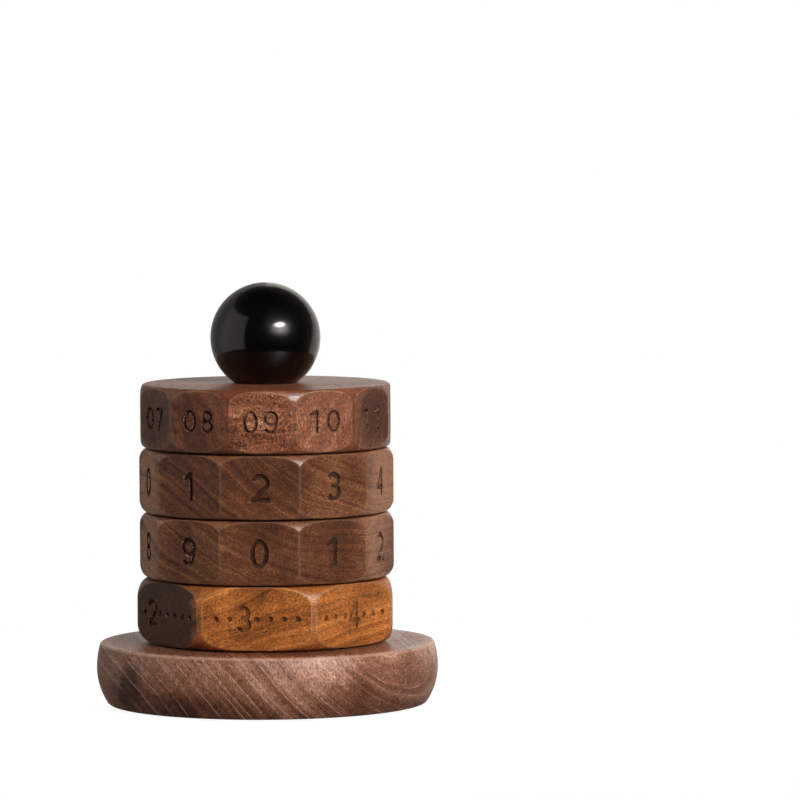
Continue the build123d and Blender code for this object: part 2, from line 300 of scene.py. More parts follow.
def mark_walls(flat, marked):
    """The edges at which a mark meets the facet, each with the mark on its left."""
    rims = {(f[k - 1], f[k]) for f in flat for k in range(len(f))}
    return [(f[k - 1], f[k]) for f in marked for k in range(len(f)) if (f[k], f[k - 1]) in rims]


def leaned_in(points, walls):
    """The points at the foot of the walls, moved into the mark by the draft."""
    inward = np.zeros_like(points)
    for start, end in walls:
        along = points[end] - points[start]
        normal = np.array([-along[1], along[0]]) / np.linalg.norm(along)
        inward[start] += normal
        inward[end] += normal
    length = np.linalg.norm(inward, axis=1)
    length[length == 0] = 1
    return points + ENGRAVING_DRAFT * inward / length[:, None]


def ring_skin(ring, heights, angles):
    """Radius, wear and turning over one facet's share of the outer surface: the faceted outline and the
    turned blank, blended along the edge between them."""
    radius, slope = (part[:, None] for part in blank_radius(ring, heights))
    prism = prism_radius(ring, angles)[0]
    turning = np.arccos(np.clip(np.cos(slope) * np.cos(angles), -1, 1))
    blend = 4 * ring.rim * (1 / np.cos(turning / 2) - 1) + 1e-4
    near = np.maximum(blend - np.abs(radius - prism), 0) / blend
    skin = np.minimum(radius, prism) - near**2 * blend / 4
    off_corner = np.abs(np.abs(angles) - math.pi / ring.facets) * ring.apothem
    arris = ARRIS_PALENESS * np.clip(1 - off_corner / ARRIS_WEAR, 0, 1) * (radius > prism)
    turned = np.clip((prism - radius) / TURNED_FADE, 0, 1)
    return skin, np.maximum(near**2, arris), turned


def ring_ends(ring):
    """The rest of the section: in over the top face, down the bore and back out over the bottom face."""
    top = RING_THICKNESS / 2
    bore = [(RING_BORE_RADIUS, top), (RING_BORE_RADIUS, -top)]
    if ring.recess:
        bore[:1] = [(KNOB_RECESS_RADIUS, top), (KNOB_RECESS_RADIUS, top - KNOB_RECESS_DEPTH),
                    (RING_BORE_RADIUS, top - KNOB_RECESS_DEPTH)]
    inwards = spaced(ring.edge, bore[0][0], GRID_COARSE)[1:-1]
    outwards = spaced(bore[-1][0], ring.edge, GRID_COARSE)[1:-1]
    return [(r, top) for r in inwards] + bore + [(r, -top) for r in outwards]


def engraved_facet(ring, value, turn, middle, border, border_names, start):
    """Points of a facet's window, faces of its flat wood and faces of its marks. The border's points are
    part of the skin and go by their names there; the names of new points begin at start."""
    flat_points, flat, marked, sources = window_fill(border, ring.marks(value))
    walls = mark_walls(flat, marked)
    outward = np.array([math.cos(turn), math.sin(turn), 0])
    across = np.array([-math.sin(turn), math.cos(turn), 0])

    def placed(flat_xy, depth):
        spots = outward * (ring.apothem - depth) + flat_xy[:, :1] * across
        spots[:, 2] += middle + flat_xy[:, 1]
        return spots

    names = [next((border_names[s] for s in source if s < len(border)), start + n)
             for n, source in enumerate(sources)]
    below = start + len(flat_points)
    points = [placed(flat_points, 0), placed(leaned_in(flat_points, walls), ENGRAVING_DEPTH)]
    floors = [tuple(below + n for n in f) for f in marked]
    sides = [(names[a], names[b], below + b, below + a) for a, b in walls]
    return np.vstack(points), [tuple(names[n] for n in f) for f in flat], floors + sides


def make_ring(name, ring, materials):
    """A faceted ring with engraved marks, as one closed mesh."""
    low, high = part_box(name)
    middle = (low.z + high.z) / 2 / MM
    extents = [np.abs(outline).max(axis=0)
               for value in ring.values for outline in ring.marks(value)]
    half_wide, half_high = np.max(extents, axis=0) + ENGRAVING_MARGIN

    # rows of points round the ring: up its skin, over its top, down its bore and back out
    heights = outer_heights(ring, round(half_high, 5))
    angles = facet_angles(ring, half_wide)
    step = 2 * math.pi / ring.facets
    first = math.radians(-90 + ring.turn) + (ring.values[0] - ring.front) * step
    columns = np.concatenate([first + k * step + angles for k in range(ring.facets)])
    skin, worn, turned = (np.tile(part, ring.facets) for part in ring_skin(ring, heights, angles))
    end_radii, end_levels = np.array(ring_ends(ring)).T
    radii = np.vstack([skin, np.tile(end_radii[:, None], len(columns))])
    levels = middle + np.concatenate([heights, end_levels])[:, None]
    points = np.stack([radii * np.cos(columns), radii * np.sin(columns),
                       np.broadcast_to(levels, radii.shape)], axis=-1).reshape(-1, 3)

    # four-sided faces everywhere but in the windows that hold the marks
    window = math.atan(half_wide / ring.apothem)
    lower, upper = (int(np.argmin(np.abs(heights - z))) for z in (-half_high, half_high))
    left, right = (int(np.argmin(np.abs(angles - a))) for a in (-window, window))
    faces = grid_faces(*radii.shape, closed=True, holed=lambda i, j: (
        lower <= i < upper and left <= j % len(angles) < right))

    # the windows: flat wood round the marks, their walls and their floors
    engraved = []
    border = ([(lower, j) for j in range(left, right)] + [(i, right) for i in range(lower, upper)]
              + [(upper, j) for j in range(right, left, -1)] + [(i, left) for i in range(upper, lower, -1)])
    border_points = [(ring.apothem * math.tan(angles[j]), heights[i]) for i, j in border]
    for k, value in enumerate(ring.values):
        names = [i * len(columns) + k * len(angles) + j for i, j in border]
        added, flat, marked = engraved_facet(
            ring, value, first + k * step, middle, border_points, names, len(points))
        points = np.vstack([points, added])
        faces += flat
        engraved += marked

    ends, windows = end_radii.size * len(columns), len(points) - radii.size
    marks = {"wear": np.concatenate([worn.ravel(), np.zeros(ends + windows)]),
             "turned": np.concatenate([turned.ravel(), np.full(ends, FACED), np.zeros(windows)])}
    piece = make_piece(name, points, faces + engraved, materials, marks)
    slots = np.repeat((0, 1), (len(faces), len(engraved)))
    piece.data.polygons.foreach_set("material_index", slots.astype(np.int32))


# === Making pieces ===============================================
def add_object(name, data):
    """A new object in the scene."""
    thing = bpy.data.objects.new(name, data)
    bpy.context.scene.collection.objects.link(thing)
    return thing


def new_mesh(name, points, faces):
    """A mesh in metres from points in millimetres."""
    mesh = bpy.data.meshes.new(name)
    mesh.from_pydata((np.asarray(points) * MM).tolist(), [], faces)
    return mesh


def make_piece(node, points, faces, materials, marks=None, sharp_from=35):
    """A mesh piece that stands for a CAD node and rides on that node's body. The marks are numbers for
    each point that its materials read."""
    mesh = new_mesh(node + "_detail", points, faces)
    for key, values in (marks or {}).items():
        mesh.attributes.new(key, "FLOAT", "POINT").data.foreach_set("value", values)
    clear_loose(mesh)
    for material in materials:
        mesh.materials.append(material)
    mesh.shade_smooth()
    mesh.set_sharp_from_angle(angle=math.radians(sharp_from))
    piece = add_object(node + "_detail", mesh)
    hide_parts(node)
    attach(piece, frame["nodes"][node]["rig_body"])
    return piece


def clear_loose(mesh):
    """Drops points that no face uses."""
    work = bmesh.new()
    work.from_mesh(mesh)
    bmesh.ops.delete(work, geom=[v for v in work.verts if not v.link_faces], context="VERTS")
    work.to_mesh(mesh)
    work.free()


def rounded(before, corner, after, radius, steps=6):
    """Points of the arc that rounds a corner between two straight legs."""
    before, corner, after = (np.array(p, float) for p in (before, corner, after))
    one, two = before - corner, after - corner
    one, two = one / np.linalg.norm(one), two / np.linalg.norm(two)
    half = math.acos(np.clip(np.dot(one, two), -1, 1)) / 2
    centre = corner + (one + two) / np.linalg.norm(one + two) * radius / math.sin(half)
    start = corner + one * radius / math.tan(half) - centre
    end = corner + two * radius / math.tan(half) - centre
    sweep = math.atan2(start[0] * end[1] - start[1] * end[0], np.dot(start, end))
    turns = sweep * np.linspace(0, 1, steps + 1)
    return [centre + (start[0] * math.cos(t) - start[1] * math.sin(t),
                      start[0] * math.sin(t) + start[1] * math.cos(t)) for t in turns]


def divided(points, spacing):
    """The same polyline with long legs cut up."""
    out = [points[0]]
    for start, end in zip(points, points[1:]):
        count = max(1, round(math.dist(start, end) / spacing))
        out += [np.array(start) + (np.array(end) - start) * k / count for k in range(1, count + 1)]
    return out


def grid_faces(rows, columns, closed, holed=lambda i, j: False):
    """Four-sided faces between rows of points that go round, but for those where there is a hole."""
    faces = []
    for i in range(rows if closed else rows - 1):
        here, above = i * columns, (i + 1) % rows * columns
        for j in range(columns):
            beside = (j + 1) % columns
            if not holed(i, j):
                faces.append((here + j, here + beside, above + beside, above + j))
    return faces


def lathe(section, segments, closed):
    """Points and faces of the surface turned from a section of radius and height."""
    turns = np.linspace(0, 2 * math.pi, segments, endpoint=False)
    points = [(r * math.cos(t), r * math.sin(t), z) for r, z in section for t in turns]
    return points, grid_faces(len(section), segments, closed)


def make_base(material):
    """The turned base, with its recess, counterbore and holes."""
    low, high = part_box("base")
    bottom, top = low.z / MM, high.z / MM
    radius, belly = BASE_DIAMETER / 2, bottom + BELLY_HEIGHT
    rise = math.degrees(math.asin((top - belly) / BELLY_ARC_ABOVE))
    fall = math.degrees(math.asin(BELLY_HEIGHT / BELLY_ARC_BELOW))
    below = arc((radius - BELLY_ARC_BELOW, belly), BELLY_ARC_BELOW, BELLY_ARC_BELOW, -fall, fall, 40)
    above = arc((radius - BELLY_ARC_ABOVE, belly), BELLY_ARC_ABOVE, BELLY_ARC_ABOVE, 0, rise, 26)
    outline = list(below[RIM_CUT:]) + list(above[1:-RIM_CUT])
    lower_rim = rounded((FELT_RECESS_RADIUS, bottom), below[0], below[RIM_CUT], BASE_BOTTOM_ROUND)
    upper_rim = rounded(above[-1 - RIM_CUT], above[-1], (0, top), BASE_TOP_ROUND)
    inside = [(SLEEVE_SOCKET_RADIUS, top), (SLEEVE_SOCKET_RADIUS, top - SLEEVE_SOCKET_DEPTH),
              (ROD_HOLE_RADIUS, top - SLEEVE_SOCKET_DEPTH), (ROD_HOLE_RADIUS, COUNTERBORE_TOP),
              (COUNTERBORE_RADIUS, COUNTERBORE_TOP), (COUNTERBORE_RADIUS, FELT_RECESS_TOP),
              (FELT_RECESS_RADIUS, FELT_RECESS_TOP), (FELT_RECESS_RADIUS, bottom)]
    section = divided(upper_rim[-1:] + inside + lower_rim[:1], BASE_SPACING)[:-1]
    section += lower_rim + outline + upper_rim[:-1]
    points, faces = lathe(section, BASE_SEGMENTS, closed=True)

    # worn along the upper rim, whose last point starts the section; polished on the top face
    wear = np.zeros(len(section))
    wear[1 - len(upper_rim):] = 1.0
    wear[0] = 1.0
    radii, heights = np.array(section).T
    polished = (radii > BASE_POLISH_RADIUS) & (heights > top - 0.01)
    marks = {"wear": np.repeat(wear, BASE_SEGMENTS),
             "turned": np.repeat(polished.astype(float), BASE_SEGMENTS)}
    make_piece("base", points, faces, [material], marks)


def make_ball(material):
    """The ball, with the flat it is screwed down on and the bore that the insert fills."""
    low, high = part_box("ball_knob")
    bottom, top = low.z / MM, high.z / MM
    radius, flat = KNOB_DIAMETER / 2, KNOB_FLAT_DIAMETER / 2
    start = -math.degrees(math.acos(flat / radius))
    skin = arc((0, top - radius), radius, radius, start, 90 - start, 110)
    rim = rounded((INSERT_SEAT_RADIUS, bottom), skin[0], skin[1], KNOB_FLAT_ROUND)
    bore = [(0, bottom + INSERT_LENGTH), (INSERT_SEAT_RADIUS, bottom + INSERT_LENGTH),
            (INSERT_SEAT_RADIUS, bottom)]
    points, faces = lathe(bore + rim + list(skin[1:]), BALL_SEGMENTS, closed=False)
    make_piece("ball_knob", points, faces, [material])


def make_felt(material):
    """The felt pad, whose cut edge is slightly ragged."""
    low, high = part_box("base_felt")
    bottom, top = low.z / MM, high.z / MM
    section = (divided([(0, bottom), (FELT_RADIUS - 0.3, bottom)], FELT_SPACING)
               + [(FELT_RADIUS, bottom + 0.25), (FELT_RADIUS, top - 0.2)]
               + divided([(FELT_RADIUS - 0.2, top), (0, top)], FELT_SPACING))
    points, faces = lathe(section, FELT_SEGMENTS, closed=False)
    points = np.array(points)
    edge = np.hypot(points[:, 0], points[:, 1]) > FELT_RADIUS - 1
    ragged = 1 - np.random.default_rng(5).uniform(0, FELT_FUZZ, len(points)) / FELT_RADIUS
    points[edge, :2] *= ragged[edge, None]
    make_piece("base_felt", points, faces, [material], sharp_from=60)


# === Materials ===================================================
# The scale of a noise is per millimetre. A squash below 1 draws it out along the fibres.
DRIFT_SCALE, WAVER_SCALE = 0.035, 0.25    # of the two ways in which a log's rings wander
LINE_START, LINE_END = (0.72, 0.86), (0.88, 1.0)    # where in a year its line begins and ends
SPECK_SQUASH = 0.3
SPECK_RANGE = (0.3, 0.7)                  # over which specks go from darkest to palest
PATCH_WANDER, PATCH_FADE = 0.8, (0.3, 1.3)    # of a patch's outline, as shares of its size
DARKEST_SPECK = 0.1                       # what a speck leaves of the colour
CUT_STREAKS, END_GRAIN = (0.15, 0.5), (0.45, 1.0)    # sines at which a face counts as across the fibres
ROUGHNESS_SPREAD = 0.06                   # from streak to streak
DULL_ROUGHNESS, DULL_GLOSS = 0.24, 1.2    # how much rougher and less glossy dull spots are
GLOSS_ROUGHNESS = 0.42
RASTER_PITCH = 0.3                        # between the lines that the laser drew
BURNT_ROUGHER = 0.15


class Nodes:
    """Builds a node tree; each call adds a node and gives back its output."""

    def __init__(self, tree):
        self.tree = tree

    def add(self, kind, output=0, inputs=(), **settings):
        node = self.tree.nodes.new(kind)
        for key, value in settings.items():
            setattr(node, key, value)
        for key, value in dict(inputs).items():
            self.feed(node.inputs[key], value)
        return node.outputs[output]

    def feed(self, socket, value):
        if isinstance(value, bpy.types.NodeSocket):
            self.tree.links.new(value, socket)
        else:
            socket.default_value = (*value, 1) if socket.type == "RGBA" else value

    def maths(self, operation, *values, clamp=False):
        return self.add("ShaderNodeMath", 0, enumerate(values), operation=operation, use_clamp=clamp)

    def times(self, product, *factors):
        for factor in factors:
            product = self.maths("MULTIPLY", product, factor)
        return product

    def plus(self, a, b):
        return self.maths("ADD", a, b)

    def vector(self, operation, *values):
        output = "Value" if operation in ("LENGTH", "DOT_PRODUCT") else "Vector"
        return self.add("ShaderNodeVectorMath", output, enumerate(values), operation=operation)

    def noise(self, vector, scale, detail, roughness, output="Fac", dimensions="3D"):
        place = {"W" if dimensions == "1D" else "Vector": vector}
        return self.add("ShaderNodeTexNoise", output,
                        {**place, "Scale": scale, "Detail": detail, "Roughness": roughness},
                        noise_dimensions=dimensions)

    def remap(self, value, low, high, to_low=0.0, to_high=1.0, smooth=True):
        return self.add("ShaderNodeMapRange", 0, {0: value, 1: low, 2: high, 3: to_low, 4: to_high},
                        interpolation_type="SMOOTHSTEP" if smooth else "LINEAR")

    def mix(self, factor, a, b, blend="MIX"):
        return self.add("ShaderNodeMix", 2, {0: factor, 6: a, 7: b}, data_type="RGBA", blend_type=blend)

    def dimmed(self, colour, factor):
        """The colour times a number."""
        return self.mix(1.0, colour, self.combine(factor, factor, factor), blend="MULTIPLY")

    def ramp(self, factor, *stops):
        """The colour at a place between stops, each a position and a colour."""
        ramp = self.add("ShaderNodeValToRGB", 0, {0: factor})
        band = ramp.node.color_ramp
        while len(band.elements) < len(stops):
            band.elements.new(0.5)
        for element, (position, colour) in zip(band.elements, stops):
            element.position = position
            element.color = (*colour, 1)
        return ramp

    def combine(self, x, y, z):
        return self.add("ShaderNodeCombineXYZ", 0, {0: x, 1: y, 2: z})

    def separate(self, vector):
        return self.add("ShaderNodeSeparateXYZ", 0, {0: vector}).node.outputs

    def scaled(self, vector, factor):
        return self.add("ShaderNodeVectorMath", 0, {0: vector, "Scale": factor}, operation="SCALE")

    def relief(self, height, depth, strength):
        """Normals of a relief whose depth is in millimetres."""
        inputs = {"Height": height, "Distance": depth * MM, "Strength": strength}
        return self.add("ShaderNodeBump", 0, inputs)

    def dress(self, looks, shader="Principled BSDF"):
        """Feeds the inputs of the tree's shader."""
        for name, value in looks.items():
            self.feed(self.tree.nodes[shader].inputs[name], value)


def new_material(name):
    """A material, the builder of its nodes, and the place on the object in millimetres."""
    material = bpy.data.materials.new(name)
    material.use_nodes = True
    nodes = Nodes(material.node_tree)
    return material, nodes, nodes.scaled(nodes.add("ShaderNodeTexCoord", "Object"), 1 / MM)


class Log:
    """A place in the log that a wood is cut from, with its grain; the log lies in the object's frame."""

    def __init__(self, nodes, wood, place):
        self.nodes, self.place = nodes, place
        fibre = Vector(wood.fibre).normalized()
        wide = Vector(wood.wide)
        wide = (wide - fibre * wide.dot(fibre)).normalized()
        from_pith = nodes.vector("SUBTRACT", place, wood.pith)
        self.along, self.u, self.v = (nodes.vector("DOT_PRODUCT", from_pith, tuple(axis))
                                      for axis in (fibre, wide, fibre.cross(wide)))

        # distance from the pith and way round it, oval and wandering a little
        bent = nodes.combine(self.u, self.v, 0)
        for scale, reach in ((DRIFT_SCALE, wood.drift), (WAVER_SCALE, wood.waver)):
            wander = nodes.noise(self.stretched(0.2, wood.seed), scale, 2, 0.5, "Color")
            self.wander = nodes.vector("SUBTRACT", wander, (0.5, 0.5, 0.5))
            bent = nodes.vector("ADD", bent, nodes.scaled(self.wander, reach))
        oval = nodes.vector("MULTIPLY", bent, (1 / wood.oval, 1, 0))
        self.radius = nodes.vector("LENGTH", oval)
        wide_part, deep_part, _ = nodes.separate(oval)
        around = nodes.times(nodes.maths("ARCTAN2", deep_part, wide_part), self.radius)

        # streaks along the fibres, clouds and specks
        self.streaks = nodes.noise(self.stretched(0.015), 0.8, 4, 0.65)
        self.clouds = nodes.noise(self.stretched(0.4, -wood.seed), 0.07, 3, 0.55)
        self.mottle = nodes.noise(place, 0.5, 3, 0.6)
        specks = nodes.combine(self.radius, nodes.times(around, wood.dash),
                               nodes.times(self.along, SPECK_SQUASH))
        self.specks = nodes.noise(specks, wood.fineness, 3, 0.75)

        # how the surface lies to the fibres, and what tools have done to it
        self.normal = nodes.add("ShaderNodeTexCoord", "Normal")
        across = nodes.vector("DOT_PRODUCT", self.normal, tuple(fibre))
        self.across = nodes.maths("ABSOLUTE", across)
        self.turned = nodes.add("ShaderNodeAttribute", "Fac", attribute_name="turned")
        self.worn = nodes.add("ShaderNodeAttribute", "Fac", attribute_name="wear")
        self.calm = nodes.times(self.turned, wood.calm)

    def stretched(self, squash, shift=0.0):
        """The place, for things that are drawn out along the fibres."""
        nodes = self.nodes
        return nodes.combine(nodes.plus(self.u, shift), self.v, nodes.times(self.along, squash))


def year_lines(nodes, wood, log):
    """The fine line that closes each year, in some years and places more than in others."""
    year = nodes.maths("FRACT", nodes.maths("DIVIDE", log.radius, wood.year))
    uneven = nodes.noise(nodes.times(log.radius, 0.45), 1.0, 1, 0.5, dimensions="1D")
    patchy = nodes.noise(log.stretched(0.3), 0.12, 2, 0.5)
    return nodes.times(nodes.remap(year, *LINE_START), nodes.remap(year, *LINE_END, 1.0, 0.0),
                       nodes.remap(uneven, 0.42, 0.60), nodes.remap(patchy, 0.35, 0.6))


def open_pores(nodes, log):
    """Pores, long along the fibres, in some places more than in others."""
    pores = nodes.add("ShaderNodeTexVoronoi", 0, {"Vector": log.stretched(0.10), "Scale": 1.35})
    scattered = nodes.noise(log.stretched(0.3), 0.5, 2, 0.5)
    return nodes.times(nodes.remap(pores, 0.12, 0.30, 1.0, 0.0), nodes.remap(scattered, 0.35, 0.6))


def wood_tone(nodes, wood, log):
    """How pale the wood is: bands along the years, streaks, clouds, specks and patches, some of which are
    painted light and painted shade, evener where it was turned."""
    bands = nodes.noise(nodes.plus(log.radius, wood.seed), 1 / wood.band, 3, 0.6, dimensions="1D")
    streaking = nodes.remap(log.across, *CUT_STREAKS, wood.streaking, wood.streaking_across)
    tone = 0.5
    for part, weight in ((bands, wood.banding), (log.streaks, streaking), (log.clouds, wood.clouding),
                         (log.mottle, wood.mottling), (log.specks, wood.speckling)):
        tone = nodes.maths("MULTIPLY_ADD", nodes.maths("SUBTRACT", part, 0.5), weight, tone)
    # each patch shifts the tone: some are the wood's own, some painted light and painted shade
    for centre, size, shade in wood.shades:
        off_centre = nodes.vector("DIVIDE", nodes.vector("SUBTRACT", log.place, centre), size)
        off_centre = nodes.vector("ADD", off_centre, nodes.scaled(log.wander, PATCH_WANDER))
        off_centre = nodes.vector("LENGTH", off_centre)
        tone = nodes.plus(tone, nodes.remap(off_centre, *PATCH_FADE, shade, 0.0))
    return nodes.maths("MULTIPLY_ADD", nodes.maths("SUBTRACT", 0.5, tone), log.calm, tone)


def wood_colour(nodes, wood, log, pores):
    """The tone's colour with year lines, pores and specks on it, darker where the fibres are cut across,
    given the turned tint where the wood was turned, on the tens and units wheels a painted sheen that
    lightens it, and paler along the edges that sanding has worn."""
    colour = nodes.ramp(wood_tone(nodes, wood, log), *wood.tones)
    lines = nodes.times(year_lines(nodes, wood, log), nodes.maths("SUBTRACT", 1.0, log.calm))
    colour = nodes.mix(nodes.times(lines, wood.line_strength), colour, wood.line)
    colour = nodes.mix(nodes.times(pores, wood.pore_strength), colour, wood.pore)
    grit = nodes.remap(log.specks, *SPECK_RANGE, 1 - wood.grit, 1 + wood.grit, smooth=False)
    colour = nodes.dimmed(colour, nodes.maths("MAXIMUM", grit, DARKEST_SPECK))
    end_grain = nodes.remap(log.across, *END_GRAIN)
    colour = nodes.dimmed(colour, nodes.maths("MULTIPLY_ADD", end_grain, wood.end_grain - 1, 1.0))
    # turned wood takes its tint, which on the tens and units wheels is a painted sheen that lightens it
    turned_colour = nodes.mix(1.0, colour, wood.turned_tint, blend="MULTIPLY")
    colour = nodes.mix(log.turned, colour, turned_colour)
    worn = nodes.times(log.worn, nodes.remap(log.mottle, 0.3, 0.6, 0.4, 1.0))
    return nodes.mix(nodes.times(worn, wood.worn), colour, wood.edge)


def walnut(name, wood, engraved=False):
    """Solid walnut, with the looks that the wood lists."""
    wood = SimpleNamespace(**wood)
    material, nodes, place = new_material(name)
    log = Log(nodes, wood, place)
    pores = open_pores(nodes, log)
    colour = wood_colour(nodes, wood, log, pores)
    rough, spread = wood.roughness, ROUGHNESS_SPREAD
    rough = nodes.remap(log.streaks, 0.2, 0.8, rough + spread, rough - spread)
    rough = nodes.maths("MULTIPLY_ADD", log.turned, -wood.polish, rough)
    dull = nodes.remap(nodes.plus(log.clouds, log.mottle), 0.75, 1.25, -0.5, 0.5, smooth=False)
    rough = nodes.maths("MULTIPLY_ADD", log.turned, nodes.times(dull, DULL_ROUGHNESS), rough)
    height = nodes.maths("MULTIPLY_ADD", pores, -1.0, nodes.plus(log.streaks, log.specks))
    if engraved:
        colour, rough, height = burnt(nodes, wood, log, colour, rough, height)
    nodes.dress({"Base Color": colour, "Roughness": rough, "Specular IOR Level": wood.specular,
                 "Normal": nodes.relief(height, 0.06, 0.9)})
    if wood.gloss:
        gloss = nodes.maths("MULTIPLY_ADD", dull, -DULL_GLOSS * wood.gloss, wood.gloss)
        gloss = nodes.maths("MULTIPLY", log.turned, gloss, clamp=True)
        nodes.dress({"Coat Weight": gloss, "Coat Roughness": GLOSS_ROUGHNESS})
    return material


def burnt(nodes, wood, log, colour, rough, height):
    """What the laser leaves, with painted light: a floor of scorched broken lines, darkened as char and as
    painted shade; walls darkened the same way; and pale specks on the walls that are painted highlights.
    """
    level = nodes.separate(log.place)["Z"]
    raster = nodes.maths("DIVIDE", nodes.maths("PINGPONG", level, RASTER_PITCH / 2), RASTER_PITCH / 2)
    broken = nodes.noise(nodes.vector("MULTIPLY", log.place, (1.6, 1.6, 3.0)), 1.2, 3, 0.7)
    scorched = nodes.plus(nodes.times(raster, 0.5), broken)
    scorched = nodes.remap(scorched, 0.40, 0.80)
    outward = nodes.vector("NORMALIZE", nodes.vector("MULTIPLY", log.place, (1, 1, 0)))
    facing = nodes.maths("ABSOLUTE", nodes.vector("DOT_PRODUCT", log.normal, outward))
    wall = nodes.remap(facing, 0.5, 0.85, 1.0, 0.0)
    # the floors and walls of the marks darken as char and as painted shade
    charred_and_shaded = nodes.maths("MAXIMUM", nodes.times(scorched, wood.scorch),
                          nodes.times(wall, nodes.remap(broken, 0.4, 0.6, 0.7, 0.0)))
    colour = nodes.mix(charred_and_shaded, colour, wood.burnt)
    # pale specks on the walls of the marks: painted highlights where light would catch them
    painted_glints = nodes.times(wall, nodes.remap(broken, 0.53, 0.61))
    colour = nodes.mix(painted_glints, colour, wood.chip)
    height = nodes.maths("MULTIPLY_ADD", scorched, -2.0, height)
    return colour, nodes.plus(rough, BURNT_ROUGHER), height


def drawn(nodes, place, stretches, detail, roughness):
    """Noises drawn out in several directions."""
    return [nodes.noise(nodes.vector("MULTIPLY", place, stretch), 1.0, detail, roughness)
            for stretch in stretches]


def polished_black():
    """Polished black ball: a clear gloss over a skin that fine scratches have dulled."""
    material, nodes, place = new_material("polished_black")
    cloud = nodes.noise(place, 0.25, 3, 0.5)
    one, two, three = drawn(nodes, place, ((9, 0.5, 2.5), (0.6, 3, 10), (4, 8, 0.5)), 3, 0.6)
    scratches = nodes.plus(nodes.plus(one, two), three)
    nodes.dress({
        "Base Color": nodes.ramp(cloud, (0.3, (0.0010, 0.0010, 0.0011)), (0.7, (0.0018, 0.0017, 0.0016))),
        "Roughness": nodes.remap(scratches, 1.2, 1.8, 0.22, 0.38), "Specular IOR Level": 0.06,
        "Coat Weight": 1.0, "Coat Roughness": 0.04, "Coat IOR": 1.40,
        "Normal": nodes.relief(scratches, 0.030, 1.0), "Coat Normal": nodes.relief(scratches, 0.005, 1.0)})
    return material


def wool_felt():
    """Dark pressed wool: fibres in every direction, matt, with a little fuzz."""
    material, nodes, place = new_material("wool_felt")
    one, two, three = drawn(nodes, place, ((7, 0.9, 2), (0.9, 7, 2), (4, -4, 1)), 4, 0.65)
    tangle = nodes.maths("MAXIMUM", nodes.maths("MAXIMUM", one, two), three)
    colour = nodes.ramp(tangle, (0.45, (0.018, 0.018, 0.019)), (0.8, (0.075, 0.073, 0.07)))
    nodes.dress({"Base Color": colour, "Roughness": 0.95, "Sheen Weight": 0.4,
                 "Normal": nodes.relief(tangle, 0.15, 0.9)})
    return material


def machined(name, dark, light, roughness, stretch):
    """Metal with the marks of turning or drawing, which run where stretch is small."""
    material, nodes, place = new_material(name)
    marks = nodes.noise(nodes.vector("MULTIPLY", place, stretch), 1.0, 4, 0.6)
    stain = nodes.noise(place, 0.35, 3, 0.55)
    tone = nodes.maths("MULTIPLY_ADD", marks, 0.4, nodes.times(stain, 0.6))
    nodes.dress({"Base Color": nodes.ramp(tone, (0.3, dark), (0.7, light)), "Metallic": 1.0,
                 "Roughness": nodes.remap(marks, 0.3, 0.7, roughness - 0.08, roughness + 0.1),
                 "Normal": nodes.relief(marks, 0.02, 0.6)})
    return material


def nylon(name, dark, light):
    """Moulded nylon: slightly cloudy, with a fine grain."""
    material, nodes, place = new_material(name)
    cloud, grain = nodes.noise(place, 0.4, 3, 0.5), nodes.noise(place, 6.0, 3, 0.6)
    nodes.dress({"Base Color": nodes.ramp(cloud, (0.3, dark), (0.7, light)),
                 "Roughness": nodes.remap(grain, 0.3, 0.7, 0.42, 0.58),
                 "Normal": nodes.relief(grain, 0.02, 0.5)})
    return material


# === Woods and finishes ==========================================
def tones(dark, middle, light):
    return [(0.10, dark), (0.5, middle), (0.90, light)]


# What a wood lists. fibre, wide and pith place the log, oval is its width over its depth, seed sets it
# apart. drift and waver: how far its rings wander. year and band: widths of a growth ring and of a band
# of colour. banding to speckling: how much each part changes the tone, on cut ends streaking_across.
# fineness: scale of the specks; dash: how short they are round the pith; grit: how strong. calm,
# polish, gloss and turned_tint: how even, smooth, clear-coated and dark turned wood is
# beside the rest, though on the tens and units wheels it lightens turned wood as a painted sheen.
# end_grain: how dark a face across the fibres is. scorch: how dark the floor of a mark is,
# as char and as painted shade. shades: patches, by centre, size and change of
# tone, some the wood's own and some painted light and painted shade. line, pore, edge, glint and
# burnt are colours, in linear light, and tones the dark, middle and pale ones of the wood
# itself. burnt darkens the marks as char and as painted shade; glint is a painted
# highlight on their walls.
WALNUT = dict(
    wide=(1, 0, 0), oval=1.0, waver=1.0, streaking_across=0.4, dash=0.8, grit=1.2,
    speckling=0.6, fineness=4.2, gloss=0.55, pore_strength=0.8, worn=0.5,
    roughness=0.45, specular=0.25)
BASE_WOOD = dict(
    WALNUT, fibre=(-0.1, 1.0, 0.0), pith=(29, 0, 22), wide=(0.743, 0, -0.669), oval=2.1,
    seed=11.0, drift=3.0, waver=0.8, year=1.6, band=2.9, banding=0.75,
    streaking=0.5, streaking_across=0.5, clouding=0.7, mottling=0.15, speckling=0.4,
    fineness=4.6, grit=1.1, polish=0.08, calm=0.6, gloss=0.0,
    # and painted shade on the top's left and low round the front and right; the small smudge on the
    # left is partly dark figure and partly painted shade
    # the patches hold painted light: a highlight on the belly's front right, light on the top's right,
    shades=[((-39.5, -30, 9), (4, 12, 7), -0.42), ((34, -35, 6), (27, 24, 10), -0.22),
            ((-20, -42, 2), (40, 20, 6), -0.25), ((15, -46, 15), (13, 10, 6), 0.25),
            ((44, -8, 20), (12, 22, 6), 0.3), ((-44, -8, 20), (12, 22, 5), -0.2)],
    tones=tones((0.060, 0.016, 0.006), (0.240, 0.102, 0.062), (0.50, 0.275, 0.200)),
    line=(0.55, 0.31, 0.22), line_strength=0.85, pore=(0.055, 0.020, 0.010),
    pore_strength=0.7, end_grain=0.95, edge=(0.50, 0.30, 0.22), worn=0.6,
    turned_tint=(0.78, 0.66, 0.58), roughness=0.33, specular=0.30)
